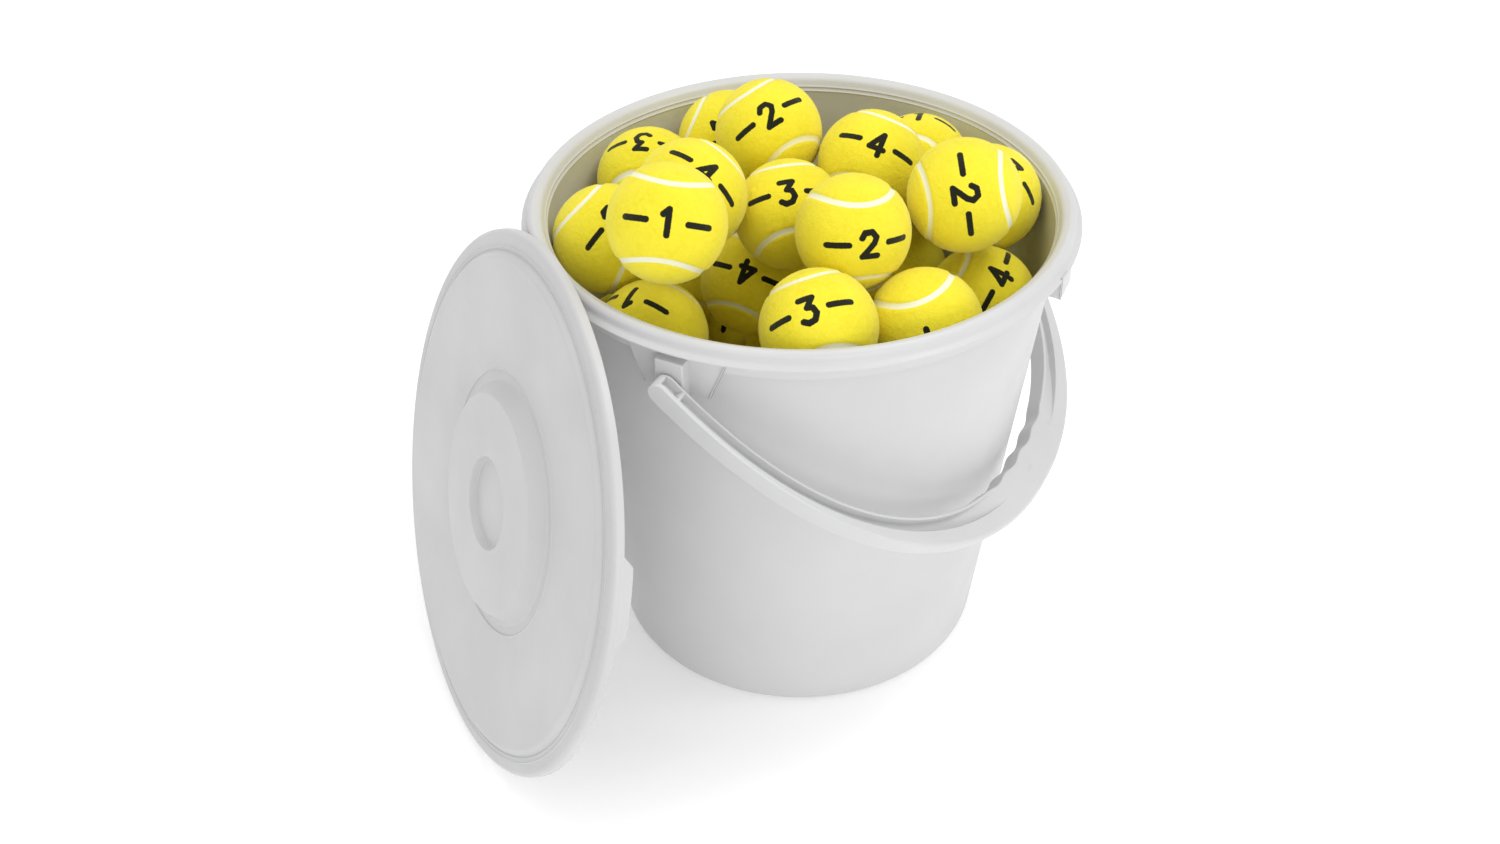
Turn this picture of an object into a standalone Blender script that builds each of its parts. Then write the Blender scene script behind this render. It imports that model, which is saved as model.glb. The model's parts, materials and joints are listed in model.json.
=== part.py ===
"""A white plastic bucket full of tennis balls, its bail handle hanging and its lid leaning on it.

The frame has +Z up. Its origin is the middle of the bucket's base, and the handle's pins lie on
a line along X. Every length is in metres.
"""
import math

import bmesh
import bpy
import numpy as np
from mathutils import Matrix, Vector

OBJECT_NAME = "ball_bucket"

# Bucket: a tapered shell with a rolled rim.
BUCKET_HEIGHT = 0.306
BASE_RADIUS = 0.120
BASE_EDGE_RADIUS = 0.004
FLOOR_THICKNESS = 0.003
NECK_RADIUS = 0.1515
NECK_HEIGHT = 0.278
INNER_BASE_RADIUS = 0.1178
INNER_TOP_RADIUS = 0.1498
INNER_TOP_HEIGHT = 0.290
RIM_RADIUS = 0.165
RIM_EDGE_HEIGHT = 0.2972
COLLAR_RADIUS = 0.158
COLLAR_HEIGHT = 0.2875
COLLAR_WALL = 0.0018
TURN_STEPS = 56

# Lugs that carry the handle, and the two small tabs under the rim between them.
APRON_LOW = 0.2705
APRON_HIGH = 0.2925
APRON_HALF_ANGLES = (math.radians(7.2), math.radians(10.4))
APRON_OUTER = 0.1585
LUG_INNER = 0.1505
BEARING_OUTER = 0.1652
BEARING_WIDTH = 0.017
BEARING_LOW = 0.267
BEARING_HIGH = 0.2925
RIM_TAB_LOW = 0.285
RIM_TAB_HALF_ANGLE = math.radians(3.5)
RIM_TAB_OUTER = 0.1643

# Handle: a flat bail, wider at the grip, with channels along both arms.
PIVOT_HEIGHT = 0.279
HANG_ANGLE = math.radians(39.7)
BAIL_HALF_WIDTH = 0.1775
BAIL_REACH = 0.2135
BAIL_INNER_HALF_WIDTH = 0.1667
BAIL_INNER_REACH = 0.1885
BAIL_POWER = 2.21
BAIL_INNER_POWER = 2.3
BAIL_THICKNESS = 0.013
BAIL_WEB = 0.0025
GRIP_HALF_LENGTH = 0.050
FINGER_WAVES = 4
FINGER_DEPTH = 0.0018
CHANNEL_OUTER = (0.1748, 0.2005)
CHANNEL_INNER = (0.1684, 0.1905)
CHANNEL_START = 0.010
CHANNEL_END_ANGLE = math.radians(70.0)
POCKET = (-0.003, 0.0075)
PIN_RADIUS = 0.0036
PIN_INNER = 0.1563
SOCKET_RADIUS = 0.0040
SOCKET_INNER = 0.1555

# Lid: a dished disc with a skirt and a raised middle.
LID_RADIUS = 0.163
LID_WALL = 0.0018
LID_FLANGE_HEIGHT = 0.0062
LID_PANEL_RADIUS = 0.1476
LID_PANEL_HEIGHT = 0.0092
LID_DISH_RADIUS = 0.080
LID_DISH_HEIGHT = 0.0052
BOSS_BASE_RADIUS = 0.0739
BOSS_RADIUS = 0.0658
BOSS_HEIGHT = 0.0138
DIMPLE_RADIUS = 0.0282
DIMPLE_DEPTH = 0.0045
LID_TAB_ANGLE = math.radians(17.0)
LID_TAB_HALF_ANGLES = (math.radians(7.0), math.radians(10.0))
LID_TAB_DROP = 0.0055
LID_FOOT = (-0.2067, 0.1430)
LID_FACING = math.radians(141.8)
LID_LEAN = math.radians(16.9)
LID_HINGE_HEIGHT = 0.010

# Balls. The upper ones are placed one by one (x, y, z of the centre in millimetres), and the
# rest settle in the bucket under them.
BALL_DIAMETER = 0.0656
BALL_GAP = 0.0004
BALL_COUNT = 57
UPPER_BALLS_MM = (
    (-115, 28, 341),
    (-40, -51, 314),
    (-102, -59, 291),
    (-2, 31, 237),
    (-92, 52, 247),
    (-63, 99, 284),
    (15, 112, 281),
    (-54, 45, 321),
    (78, 89, 285),
    (42, 42, 315),
    (-8, 4, 297),
    (52, -23, 305),
    (112, -33, 278),
    (14, -96, 322),
    (72, -94, 289),
    (22, -111, 248),
    (-55, -103, 277),
)
SETTLE_STEPS = 6000
RELAX_STEPS = 6000
DROP_PER_STEP = 0.00012
UPPER_HOLD = 0.3

WHITE_PLASTIC = (0.86, 0.86, 0.86, 1.0)
LID_PLASTIC = (0.80, 0.80, 0.80, 1.0)
FELT_YELLOW = (0.86, 0.80, 0.05, 1.0)


def clear_scene():
    """Start from an empty file."""
    for old in list(bpy.data.objects):
        bpy.data.objects.remove(old, do_unlink=True)


def make_collection(name):
    """A new collection in the scene."""
    collection = bpy.data.collections.new(name)
    bpy.context.scene.collection.children.link(collection)
    return collection


def make_material(name, colour, roughness):
    """A plain, non-metallic Principled material."""
    material = bpy.data.materials.new(name)
    material.use_nodes = True
    shader = material.node_tree.nodes["Principled BSDF"]
    shader.inputs["Base Color"].default_value = colour
    shader.inputs["Roughness"].default_value = roughness
    shader.inputs["Metallic"].default_value = 0.0
    return material


def add_object(name, mesh, collection, material=None):
    """Link a mesh as a named object."""
    obj = bpy.data.objects.new(name, mesh)
    collection.objects.link(obj)
    if material:
        mesh.materials.append(material)
    return obj


def add_cutter(name, mesh, collection, parent=None):
    """Link a mesh that only shapes another object, and that moves with its parent."""
    cutter = add_object(name, mesh, collection)
    cutter.parent = parent
    cutter.hide_render = True
    cutter.display_type = "WIRE"
    return cutter


def combine(obj, tool, operation):
    """Join a tool to an object, or cut it away, with an exact Boolean."""
    boolean = obj.modifiers.new(tool.name, "BOOLEAN")
    boolean.operation = operation
    boolean.solver = "EXACT"
    boolean.object = tool


def mesh_from(name, shape):
    """Turn a bmesh into a mesh and free it."""
    mesh = bpy.data.meshes.new(name)
    shape.to_mesh(mesh)
    shape.free()
    return mesh


def turned(name, profile, collection, material):
    """A solid turned about Z from (radius, height) points, outer side listed top to bottom."""
    mesh = bpy.data.meshes.new(name)
    points = [(radius, 0.0, height) for radius, height in profile]
    mesh.from_pydata(points, [(i, i + 1) for i in range(len(points) - 1)], [])
    obj = add_object(name, mesh, collection, material)
    screw = obj.modifiers.new("turn", "SCREW")
    screw.axis = "Z"
    screw.angle = math.tau
    screw.steps = TURN_STEPS
    screw.render_steps = TURN_STEPS
    screw.use_merge_vertices = True
    screw.merge_threshold = 0.00001
    screw.use_smooth_shade = True
    return obj


def curved_block(name, radii, heights, half_angles, azimuth):
    """A block that follows a circle about Z, its half angle changing from bottom to top."""
    shape = bmesh.new()
    bmesh.ops.create_cube(shape, size=1.0)
    along = [e for e in shape.edges if abs(e.verts[0].co.y - e.verts[1].co.y) > 0.5]
    bmesh.ops.subdivide_edges(shape, edges=along, cuts=4)
    for vert in shape.verts:
        x, y, z = vert.co + Vector((0.5, 0.0, 0.5))
        radius = radii[0] + x * (radii[1] - radii[0])
        half = half_angles[0] + z * (half_angles[1] - half_angles[0])
        angle = azimuth + 2.0 * y * half
        vert.co.x = radius * math.cos(angle)
        vert.co.y = radius * math.sin(angle)
        vert.co.z = heights[0] + z * (heights[1] - heights[0])
    return mesh_from(name, shape)


def box(name, low, high):
    """A box between two corners."""
    shape = bmesh.new()
    bmesh.ops.create_cube(shape, size=1.0)
    size = [b - a for a, b in zip(low, high)]
    middle = [(a + b) / 2 for a, b in zip(low, high)]
    bmesh.ops.scale(shape, vec=size, verts=shape.verts)
    bmesh.ops.translate(shape, vec=middle, verts=shape.verts)
    return mesh_from(name, shape)


def rod_along_x(name, radius, x_start, x_end, height, sides):
    """A closed cylinder along X at y = 0."""
    shape = bmesh.new()
    bmesh.ops.create_cone(
        shape,
        cap_ends=True,
        segments=sides,
        radius1=radius,
        radius2=radius,
        depth=abs(x_end - x_start),
    )
    turn = Matrix.Rotation(math.pi / 2, 4, "Y")
    bmesh.ops.transform(shape, matrix=turn, verts=shape.verts)
    bmesh.ops.translate(shape, vec=((x_start + x_end) / 2, 0.0, height), verts=shape.verts)
    return mesh_from(name, shape)


def inner_radius(height):
    """The inside radius of the bucket's wall at a height, which may be an array."""
    slope = (INNER_TOP_RADIUS - INNER_BASE_RADIUS) / (INNER_TOP_HEIGHT - FLOOR_THICKNESS)
    return INNER_BASE_RADIUS + slope * (np.minimum(height, INNER_TOP_HEIGHT) - FLOOR_THICKNESS)


def bucket_profile():
    """Half section of the bucket: floor and inner wall up, over the rim, outer wall down."""
    neck_taper = (NECK_RADIUS - BASE_RADIUS) / NECK_HEIGHT
    under_rim = RIM_EDGE_HEIGHT - 0.0010
    edge = BASE_EDGE_RADIUS
    return (
        (0.0, FLOOR_THICKNESS),
        (INNER_BASE_RADIUS - 0.003, FLOOR_THICKNESS),
        (INNER_BASE_RADIUS, FLOOR_THICKNESS + 0.003),
        (INNER_TOP_RADIUS, INNER_TOP_HEIGHT),
        (INNER_TOP_RADIUS + 0.0004, 0.2970),
        (0.1518, 0.3000),
        (0.1530, 0.3035),
        (0.1555, BUCKET_HEIGHT - 0.0005),
        (0.1580, BUCKET_HEIGHT),
        (0.1603, BUCKET_HEIGHT - 0.0012),
        (0.1614, 0.3020),
        (0.1618, 0.3000),
        (RIM_RADIUS, RIM_EDGE_HEIGHT + 0.0006),
        (RIM_RADIUS, RIM_EDGE_HEIGHT),
        (COLLAR_RADIUS + 0.0012, under_rim),
        (COLLAR_RADIUS, COLLAR_HEIGHT),
        (COLLAR_RADIUS - COLLAR_WALL, COLLAR_HEIGHT),
        (COLLAR_RADIUS - COLLAR_WALL + 0.0004, under_rim),
        (NECK_RADIUS + 0.0012, under_rim),
        (NECK_RADIUS, NECK_HEIGHT),
        (BASE_RADIUS + neck_taper * edge, edge),
        (BASE_RADIUS - 0.29 * edge, 0.29 * edge),
        (BASE_RADIUS - edge, 0.0),
        (0.0, 0.0),
    )


def build_bucket(parts, cutters, material):
    """The turned shell, with a lug for the handle on each side and two tabs between them."""
    bucket = turned("bucket", bucket_profile(), parts, material)
    for side, azimuth in (("left", math.pi), ("right", 0.0)):
        sign = math.cos(azimuth)
        apron = curved_block(
            f"apron_{side}",
            (LUG_INNER, APRON_OUTER),
            (APRON_LOW, APRON_HIGH),
            APRON_HALF_ANGLES,
            azimuth,
        )
        combine(bucket, add_cutter(f"apron_{side}", apron, cutters), "UNION")
        x_low, x_high = sorted((sign * (APRON_OUTER - 0.002), sign * BEARING_OUTER))
        bearing = box(
            f"bearing_{side}",
            (x_low, -BEARING_WIDTH / 2, BEARING_LOW),
            (x_high, BEARING_WIDTH / 2, BEARING_HIGH),
        )
        combine(bucket, add_cutter(f"bearing_{side}", bearing, cutters), "UNION")
        socket = rod_along_x(
            f"socket_{side}",
            SOCKET_RADIUS,
            sign * SOCKET_INNER,
            sign * (BEARING_OUTER + 0.002),
            PIVOT_HEIGHT,
            24,
        )
        combine(bucket, add_cutter(f"socket_{side}", socket, cutters), "DIFFERENCE")
    for place, azimuth in (("front", -math.pi / 2), ("back", math.pi / 2)):
        tab = curved_block(
            f"rim_tab_{place}",
            (COLLAR_RADIUS - 0.001, RIM_TAB_OUTER),
            (RIM_TAB_LOW, RIM_EDGE_HEIGHT + 0.001),
            (RIM_TAB_HALF_ANGLE, RIM_TAB_HALF_ANGLE),
            azimuth,
        )
        combine(bucket, add_cutter(f"rim_tab_{place}", tab, cutters), "UNION")
    return bucket


def bail_point(half_width, reach, angle, power=BAIL_POWER):
    """A point (across, out) on a rounded outline, at an angle from the pivot line."""
    across = abs(math.cos(angle)) / half_width
    out = abs(math.sin(angle)) / reach
    radius = (across**power + out**power) ** (-1.0 / power)
    return radius * math.cos(angle), radius * math.sin(angle)


def finger_wave(across):
    """How much the shallow finger waves are cut into the grip's inner edge."""
    if abs(across) > GRIP_HALF_LENGTH:
        return 0.0
    wave = math.pi * FINGER_WAVES * across / GRIP_HALF_LENGTH
    return FINGER_DEPTH * (1.0 - math.cos(wave)) / 2


def bail_outline():
    """The closed outline of the bail, seen square on: outer edge there, inner edge back."""
    outer = [
        bail_point(BAIL_HALF_WIDTH, BAIL_REACH, math.pi * i / 60) for i in range(61)
    ]
    inner = []
    for i in range(121):
        angle = math.pi * (1 - i / 120)
        across, out = bail_point(
            BAIL_INNER_HALF_WIDTH, BAIL_INNER_REACH, angle, BAIL_INNER_POWER
        )
        inner.append((across, out + finger_wave(across)))
    return outer + inner


def channel_outline(side):
    """The outline of the channel in one arm, from near the pivot to the grip."""
    start = math.atan2(CHANNEL_START, CHANNEL_OUTER[0])
    angles = [start + (CHANNEL_END_ANGLE - start) * i / 18 for i in range(19)]
    outer = [bail_point(*CHANNEL_OUTER, angle) for angle in angles]
    inner = [bail_point(*CHANNEL_INNER, angle, BAIL_INNER_POWER) for angle in reversed(angles)]
    return [(side * across, out) for across, out in outer + inner]


def flat_solid(name, outline, thickness, height, collection):
    """A filled flat outline of (across, out) points, made thick along Z. Out is towards -Y."""
    curve = bpy.data.curves.new(name, "CURVE")
    curve.dimensions = "2D"
    curve.fill_mode = "BOTH"
    curve.extrude = thickness / 2
    spline = curve.splines.new("POLY")
    spline.points.add(len(outline) - 1)
    for point, (across, out) in zip(spline.points, outline):
        point.co = (across, -out, 0.0, 1.0)
    spline.use_cyclic_u = True
    shape_object = bpy.data.objects.new(name + "_outline", curve)
    collection.objects.link(shape_object)
    bpy.context.view_layer.update()
    depsgraph = bpy.context.evaluated_depsgraph_get()
    mesh = bpy.data.meshes.new_from_object(shape_object.evaluated_get(depsgraph))
    bpy.data.objects.remove(shape_object, do_unlink=True)
    shape = bmesh.new()
    shape.from_mesh(mesh)
    bpy.data.meshes.remove(mesh)
    bmesh.ops.remove_doubles(shape, verts=shape.verts, dist=0.00001)
    bmesh.ops.recalc_face_normals(shape, faces=shape.faces)
    bmesh.ops.translate(shape, vec=(0.0, 0.0, height), verts=shape.verts)
    return mesh_from(name, shape)


def build_handle(parts, cutters, material):
    """The bail: flat outline, round ends and pins joined on, channels and pockets cut out."""
    mesh = flat_solid("handle", bail_outline(), BAIL_THICKNESS, 0.0, cutters)
    handle = add_object("handle", mesh, parts, material)
    cut_depth = BAIL_THICKNESS / 2
    for side_name, side in (("left", -1), ("right", 1)):
        end = rod_along_x(
            f"arm_end_{side_name}",
            BAIL_THICKNESS / 2 - 0.0001,
            side * (BAIL_INNER_HALF_WIDTH + 0.0001),
            side * (BAIL_HALF_WIDTH - 0.0001),
            0.0,
            28,
        )
        combine(handle, add_cutter(f"arm_end_{side_name}", end, cutters, handle), "UNION")
        pin = rod_along_x(
            f"pin_{side_name}",
            PIN_RADIUS,
            side * PIN_INNER,
            side * (BAIL_INNER_HALF_WIDTH + 0.002),
            0.0,
            20,
        )
        combine(handle, add_cutter(f"pin_{side_name}", pin, cutters, handle), "UNION")
        for face_name, face in (("top", 1), ("under", -1)):
            middle = face * (BAIL_WEB / 2 + cut_depth / 2)
            name = f"channel_{side_name}_{face_name}"
            channel = flat_solid(name, channel_outline(side), cut_depth, middle, cutters)
            combine(handle, add_cutter(name, channel, cutters, handle), "DIFFERENCE")
            x_low, x_high = sorted((side * CHANNEL_INNER[0], side * CHANNEL_OUTER[0]))
            z_low, z_high = sorted((face * BAIL_WEB / 2, face * (BAIL_WEB / 2 + cut_depth)))
            name = f"pocket_{side_name}_{face_name}"
            pocket = box(name, (x_low, -POCKET[1], z_low), (x_high, -POCKET[0], z_high))
            combine(handle, add_cutter(name, pocket, cutters, handle), "DIFFERENCE")
    handle.location = (0.0, 0.0, PIVOT_HEIGHT)
    handle.rotation_euler = (HANG_ANGLE, 0.0, 0.0)
    return handle


def lid_profile():
    """Half section of the lid: outer face outwards, skirt down, under face back to the axis."""
    wall = LID_WALL
    return (
        (0.0, BOSS_HEIGHT - DIMPLE_DEPTH),
        (DIMPLE_RADIUS * 0.75, BOSS_HEIGHT - DIMPLE_DEPTH),
        (DIMPLE_RADIUS, BOSS_HEIGHT),
        (BOSS_RADIUS, BOSS_HEIGHT),
        (BOSS_BASE_RADIUS, LID_DISH_HEIGHT - 0.0007),
        (LID_DISH_RADIUS, LID_DISH_HEIGHT),
        (LID_PANEL_RADIUS - 0.0012, LID_PANEL_HEIGHT),
        (LID_PANEL_RADIUS + 0.0010, LID_PANEL_HEIGHT - 0.0012),
        (LID_PANEL_RADIUS + 0.0026, LID_FLANGE_HEIGHT),
        (LID_RADIUS - 0.0030, LID_FLANGE_HEIGHT),
        (LID_RADIUS - 0.0006, LID_FLANGE_HEIGHT - 0.0016),
        (LID_RADIUS, 0.0),
        (LID_RADIUS - 0.0012, 0.0),
        (LID_RADIUS - 0.0020, LID_FLANGE_HEIGHT - wall - 0.0008),
        (LID_RADIUS - 0.0036, LID_FLANGE_HEIGHT - wall),
        (LID_PANEL_RADIUS + 0.0022, LID_FLANGE_HEIGHT - wall),
        (LID_PANEL_RADIUS - 0.0012, LID_PANEL_HEIGHT - wall),
        (LID_DISH_RADIUS, LID_DISH_HEIGHT - wall),
        (BOSS_BASE_RADIUS - 0.0016, LID_DISH_HEIGHT - 0.0007 - wall),
        (BOSS_RADIUS - 0.0012, BOSS_HEIGHT - wall),
        (DIMPLE_RADIUS + 0.0014, BOSS_HEIGHT - wall),
        (DIMPLE_RADIUS * 0.75 + 0.0010, BOSS_HEIGHT - DIMPLE_DEPTH - wall),
        (0.0, BOSS_HEIGHT - DIMPLE_DEPTH - wall),
    )


def build_lid(parts, cutters, material):
    """The lid on its edge on the floor, leaning back on the bucket's rim."""
    lid = turned("lid", lid_profile(), parts, material)
    hinge = bpy.data.objects.new("lid_hinge", None)
    parts.objects.link(hinge)
    hinge.location = (*LID_FOOT, LID_HINGE_HEIGHT)
    across_lean = LID_RADIUS * math.sin(LID_LEAN)
    lid.parent = hinge
    lid.location = (
        -across_lean * math.cos(LID_FACING),
        -across_lean * math.sin(LID_FACING),
        LID_RADIUS * math.cos(LID_LEAN) - LID_HINGE_HEIGHT,
    )
    lid.rotation_euler = (math.pi / 2 - LID_LEAN, 0.0, LID_FACING + math.pi / 2)
    for number, angle in enumerate((LID_TAB_ANGLE, LID_TAB_ANGLE + math.pi), start=1):
        mesh = curved_block(
            f"lid_tab_{number}",
            (LID_RADIUS - 0.0016, LID_RADIUS - 0.0001),
            (-LID_TAB_DROP, 0.002),
            LID_TAB_HALF_ANGLES,
            angle,
        )
        combine(lid, add_cutter(f"lid_tab_{number}", mesh, cutters, lid), "UNION")
    return lid


def starting_centres():
    """The upper balls in their places, and rings of balls from the floor up under them."""
    upper = [[value / 1000 for value in place] for place in UPPER_BALLS_MM]
    rest = []
    height = FLOOR_THICKNESS + BALL_DIAMETER / 2
    layer = 0
    while len(rest) < BALL_COUNT - len(upper):
        outer_ring = inner_radius(height) - BALL_DIAMETER / 2 - 0.002
        for ring, rise in ((outer_ring, 0.0), (outer_ring - BALL_DIAMETER, 0.02)):
            count = 1
            if ring > BALL_DIAMETER / 2:
                count = int(math.tau * ring / (BALL_DIAMETER * 1.05))
            else:
                ring = 0.0
            for i in range(count):
                angle = math.tau * (i + 0.5 * (layer % 2)) / count
                rest.append((ring * math.cos(angle), ring * math.sin(angle), height + rise))
        height += 0.82 * BALL_DIAMETER
        layer += 1
    rest = rest[: BALL_COUNT - len(upper)]
    return np.round(np.array(upper + rest), 6)


def part_overlaps(centres, share):
    """Move overlapping balls apart by a share of their overlap, and give the worst overlap."""
    apart = centres[:, None] - centres[None]
    distance = np.sqrt(np.sum(apart * apart, axis=-1)) + 9.0 * np.eye(len(centres))
    overlap = np.maximum(BALL_DIAMETER + BALL_GAP - distance, 0.0)
    push = np.sum(apart / distance[..., None] * overlap[..., None], axis=1)
    return centres + share * push, overlap.max()


def keep_inside(centres):
    """Keep every ball off the bucket's wall and floor."""
    rise = INNER_TOP_HEIGHT - FLOOR_THICKNESS
    run = INNER_TOP_RADIUS - INNER_BASE_RADIUS
    stand_off = (BALL_DIAMETER / 2 + 2 * BALL_GAP) * math.sqrt(rise**2 + run**2) / rise
    radius = np.sqrt(centres[:, 0] ** 2 + centres[:, 1] ** 2)
    limit = inner_radius(centres[:, 2]) - stand_off
    scale = np.where(radius > limit, limit / np.maximum(radius, 1e-9), 1.0)
    centres[:, :2] *= scale[:, None]
    lowest = FLOOR_THICKNESS + BALL_DIAMETER / 2 + BALL_GAP
    centres[:, 2] = np.maximum(centres[:, 2], lowest)
    return centres


def settled_centres():
    """Let the balls sink and press apart until they fill the bucket without touching."""
    centres = starting_centres()
    upper = len(UPPER_BALLS_MM)
    places = centres[:upper].copy()
    for step in range(SETTLE_STEPS):
        fading = 1.0 - step / SETTLE_STEPS
        centres[upper:, 2] -= DROP_PER_STEP * fading
        if fading > 0.2:
            centres[:upper] += (places - centres[:upper]) * UPPER_HOLD * fading
        centres, _ = part_overlaps(centres, 0.3)
        centres = keep_inside(centres)
    for _ in range(RELAX_STEPS):
        centres, worst = part_overlaps(centres, 0.25)
        centres = keep_inside(centres)
        if worst < BALL_GAP / 20:
            break
    return np.round(centres, 5)


def ball_mesh(name, subdivisions):
    """One ball, centred on its origin."""
    shape = bmesh.new()
    bmesh.ops.create_icosphere(shape, subdivisions=subdivisions, radius=BALL_DIAMETER / 2)
    mesh = mesh_from(name, shape)
    mesh.shade_smooth()
    return mesh


def build_balls(parts, material):
    """The upper balls, then the hidden ones under them, each a ball of its own."""
    fine = ball_mesh("ball_upper", 3)
    coarse = ball_mesh("ball_lower", 2)
    fine.materials.append(material)
    coarse.materials.append(material)
    for index, centre in enumerate(settled_centres()):
        mesh = fine if index < len(UPPER_BALLS_MM) else coarse
        ball = add_object(f"ball_{index + 1:02d}", mesh, parts)
        ball.location = centre


def build():
    """Make every part of the object."""
    clear_scene()
    parts = make_collection(OBJECT_NAME)
    cutters = make_collection("cutters")
    white = make_material("bucket_plastic", WHITE_PLASTIC, 0.42)
    handle_white = make_material("handle_plastic", WHITE_PLASTIC, 0.40)
    lid_white = make_material("lid_plastic", LID_PLASTIC, 0.45)
    felt = make_material("ball_felt", FELT_YELLOW, 0.95)
    build_bucket(parts, cutters, white)
    build_handle(parts, cutters, handle_white)
    build_lid(parts, cutters, lid_white)
    build_balls(parts, felt)


build()
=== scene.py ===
"""Looks of a white plastic bucket of tennis balls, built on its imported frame. Metres, +Z up."""
import json
import math
import random

import bmesh
import bpy
import numpy as np
from mathutils import Matrix, Vector, noise


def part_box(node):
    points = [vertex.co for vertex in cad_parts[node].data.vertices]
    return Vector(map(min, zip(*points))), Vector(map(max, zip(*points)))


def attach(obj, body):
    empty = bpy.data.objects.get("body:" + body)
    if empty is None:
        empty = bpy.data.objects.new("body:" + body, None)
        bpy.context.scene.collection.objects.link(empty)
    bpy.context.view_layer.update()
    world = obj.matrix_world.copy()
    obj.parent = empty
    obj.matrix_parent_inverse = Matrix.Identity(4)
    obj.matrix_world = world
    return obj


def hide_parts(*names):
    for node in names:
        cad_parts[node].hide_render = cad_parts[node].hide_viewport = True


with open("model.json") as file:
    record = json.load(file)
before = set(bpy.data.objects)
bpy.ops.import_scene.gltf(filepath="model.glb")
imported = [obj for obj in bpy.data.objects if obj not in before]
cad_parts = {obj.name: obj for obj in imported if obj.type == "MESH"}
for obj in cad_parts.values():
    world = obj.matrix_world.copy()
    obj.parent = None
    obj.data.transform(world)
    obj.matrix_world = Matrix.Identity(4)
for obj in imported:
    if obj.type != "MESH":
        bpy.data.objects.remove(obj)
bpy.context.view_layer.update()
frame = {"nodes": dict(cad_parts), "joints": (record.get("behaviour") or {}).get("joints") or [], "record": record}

# ---------------------------------------------------------------------------------------------
# Studio: a camera that looks down at the bucket, and a white floor that glows faintly, as a lit
# table does. One soft lamp hangs high on the right, one nearly overhead, one stands low in front,
# and a white sky fills the shadows.
# ---------------------------------------------------------------------------------------------
CAMERA_PLACE = Vector((-0.7676, -0.3531, 0.8030))
CAMERA_AZIMUTH = math.radians(26.87)
CAMERA_DROP = math.radians(38.34)
CAMERA_ROLL = -0.0149
CAMERA_LENS = 39.47
CAMERA_SENSOR = 36.0
LAMP_AIM = Vector((0, 0, 0.15))
SKY_STRENGTH = 0.74
FLOOR_HALF = 5.0
FLOOR_DROP = 0.0002
FLOOR_GLOW = 0.20
FLOOR_DULL = (0.93, 0.93, 0.93, 1.0)
FLOOR_PALE = (0.95, 0.95, 0.95, 1.0)

camera_data = bpy.data.cameras.new("camera")
camera_data.lens = CAMERA_LENS
camera_data.sensor_width = CAMERA_SENSOR
camera_data.clip_start = 0.01
camera = bpy.data.objects.new("camera", camera_data)
camera.matrix_world = (
    Matrix.Translation(CAMERA_PLACE)
    @ Matrix.Rotation(CAMERA_AZIMUTH - math.pi / 2, 4, "Z")
    @ Matrix.Rotation(math.pi / 2 - CAMERA_DROP, 4, "X")
    @ Matrix.Rotation(CAMERA_ROLL, 4, "Z")
)
bpy.context.scene.collection.objects.link(camera)
bpy.context.scene.camera = camera
bpy.context.scene.view_settings.view_transform = "Standard"

view_right = camera.matrix_world.to_3x3() @ Vector((1, 0, 0))


def area_lamp(name, azimuth, height, reach, size, power):
    """A square soft lamp that looks at the bucket's middle from an azimuth, in degrees."""
    data = bpy.data.lights.new(name, "AREA")
    data.shape = "SQUARE"
    data.size = size
    data.energy = power
    lamp = bpy.data.objects.new(name, data)
    turn = math.radians(azimuth)
    place = Vector((reach * math.cos(turn), reach * math.sin(turn), height))
    facing = (LAMP_AIM - place).to_track_quat("-Z", "Y").to_matrix().to_4x4()
    lamp.matrix_world = Matrix.Translation(place) @ facing
    bpy.context.scene.collection.objects.link(lamp)


area_lamp("key_lamp", -70.0, 2.3, 1.0, 0.7, 12.0)
area_lamp("top_lamp", 60.0, 2.3, 0.5, 2.0, 13.0)
area_lamp("front_lamp", 224.0, 0.75, 2.0, 0.8, 8.0)

sky = bpy.data.worlds.new("sky")
sky.use_nodes = True
sky.node_tree.nodes["Background"].inputs["Color"].default_value = (1.0, 1.0, 1.0, 1.0)
sky.node_tree.nodes["Background"].inputs["Strength"].default_value = SKY_STRENGTH
bpy.context.scene.world = sky


def add_node(material, kind, inputs=None, **settings):
    """Add a shader node, its settings and its inputs, which are values or other sockets."""
    made = material.node_tree.nodes.new(kind)
    for key, value in settings.items():
        setattr(made, key, value)
    for key, value in (inputs or {}).items():
        if isinstance(value, bpy.types.NodeSocket):
            material.node_tree.links.new(value, made.inputs[key])
        else:
            made.inputs[key].default_value = value
    return made


def join(material, source, target):
    """Link one socket to another."""
    material.node_tree.links.new(source, target)


def new_material(name):
    """A material with its Principled shader and its Object coordinates."""
    material = bpy.data.materials.new(name)
    material.use_nodes = True
    shader = material.node_tree.nodes["Principled BSDF"]
    place = add_node(material, "ShaderNodeTexCoord").outputs["Object"]
    return material, shader, place


def mottle(material, place, scale, detail, low, high):
    """Soft noise of a given scale, spread between two values."""
    grain = add_node(
        material, "ShaderNodeTexNoise", {"Vector": place, "Scale": scale, "Detail": detail}
    )
    spread = add_node(
        material,
        "ShaderNodeMapRange",
        {"Value": grain.outputs["Fac"], 1: 0.3, 2: 0.7, 3: low, 4: high},
    )
    return spread.outputs["Result"]


def blend_colours(material, factor, first, second):
    """Mix two colours, each a value or a socket."""
    mix = add_node(
        material,
        "ShaderNodeMix",
        {"Factor": factor, 6: first, 7: second},
        data_type="RGBA",
        blend_type="MIX",
    )
    return mix.outputs[2]


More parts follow.
